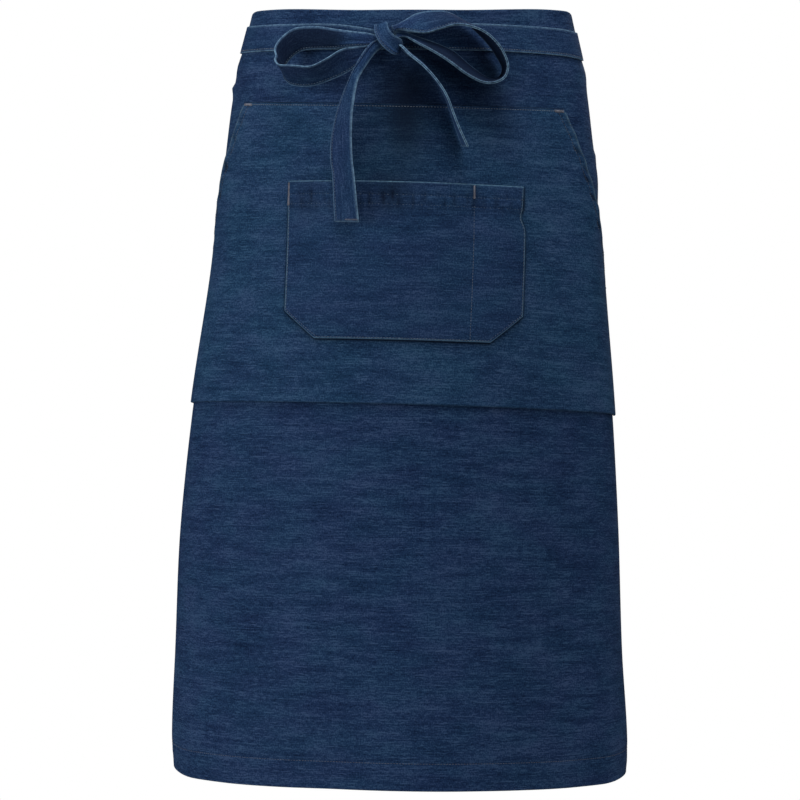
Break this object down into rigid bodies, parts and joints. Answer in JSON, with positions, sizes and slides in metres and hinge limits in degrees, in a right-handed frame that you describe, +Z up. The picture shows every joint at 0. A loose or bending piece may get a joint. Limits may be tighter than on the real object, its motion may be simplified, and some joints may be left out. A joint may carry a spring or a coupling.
{
  "type": "long waist apron",
  "caption": "Long denim waist apron as worn, open at the back, with a pouch panel, a patch pocket with a pen slot, and ties wrapped round and bowed in front.",
  "frame": {"origin": "centre of the waist hollow, level with the middle of the ties at centre front", "axes": "+Z up along the wearer, -Y to the front, +X to the right as seen from the front"},
  "size_m": [0.4488, 0.284, 0.7416],
  "materials": {
    "skirt_denim": "matte",
    "pouch_denim": "matte",
    "tie_denim": "matte",
    "thread": "satin"
  },
  "bodies": {
    "root": {"skirt_panel": "skirt_denim", "pouch_panel": "pouch_denim", "patch_pocket": "pouch_denim", "tie_left": "tie_denim", "tie_right": "tie_denim", "bow_loop_left": "tie_denim", "bow_loop_right": "tie_denim", "bow_tail_left": "tie_denim", "bow_tail_right": "tie_denim", "bow_knot": "tie_denim"}
  },
  "joints": []
}
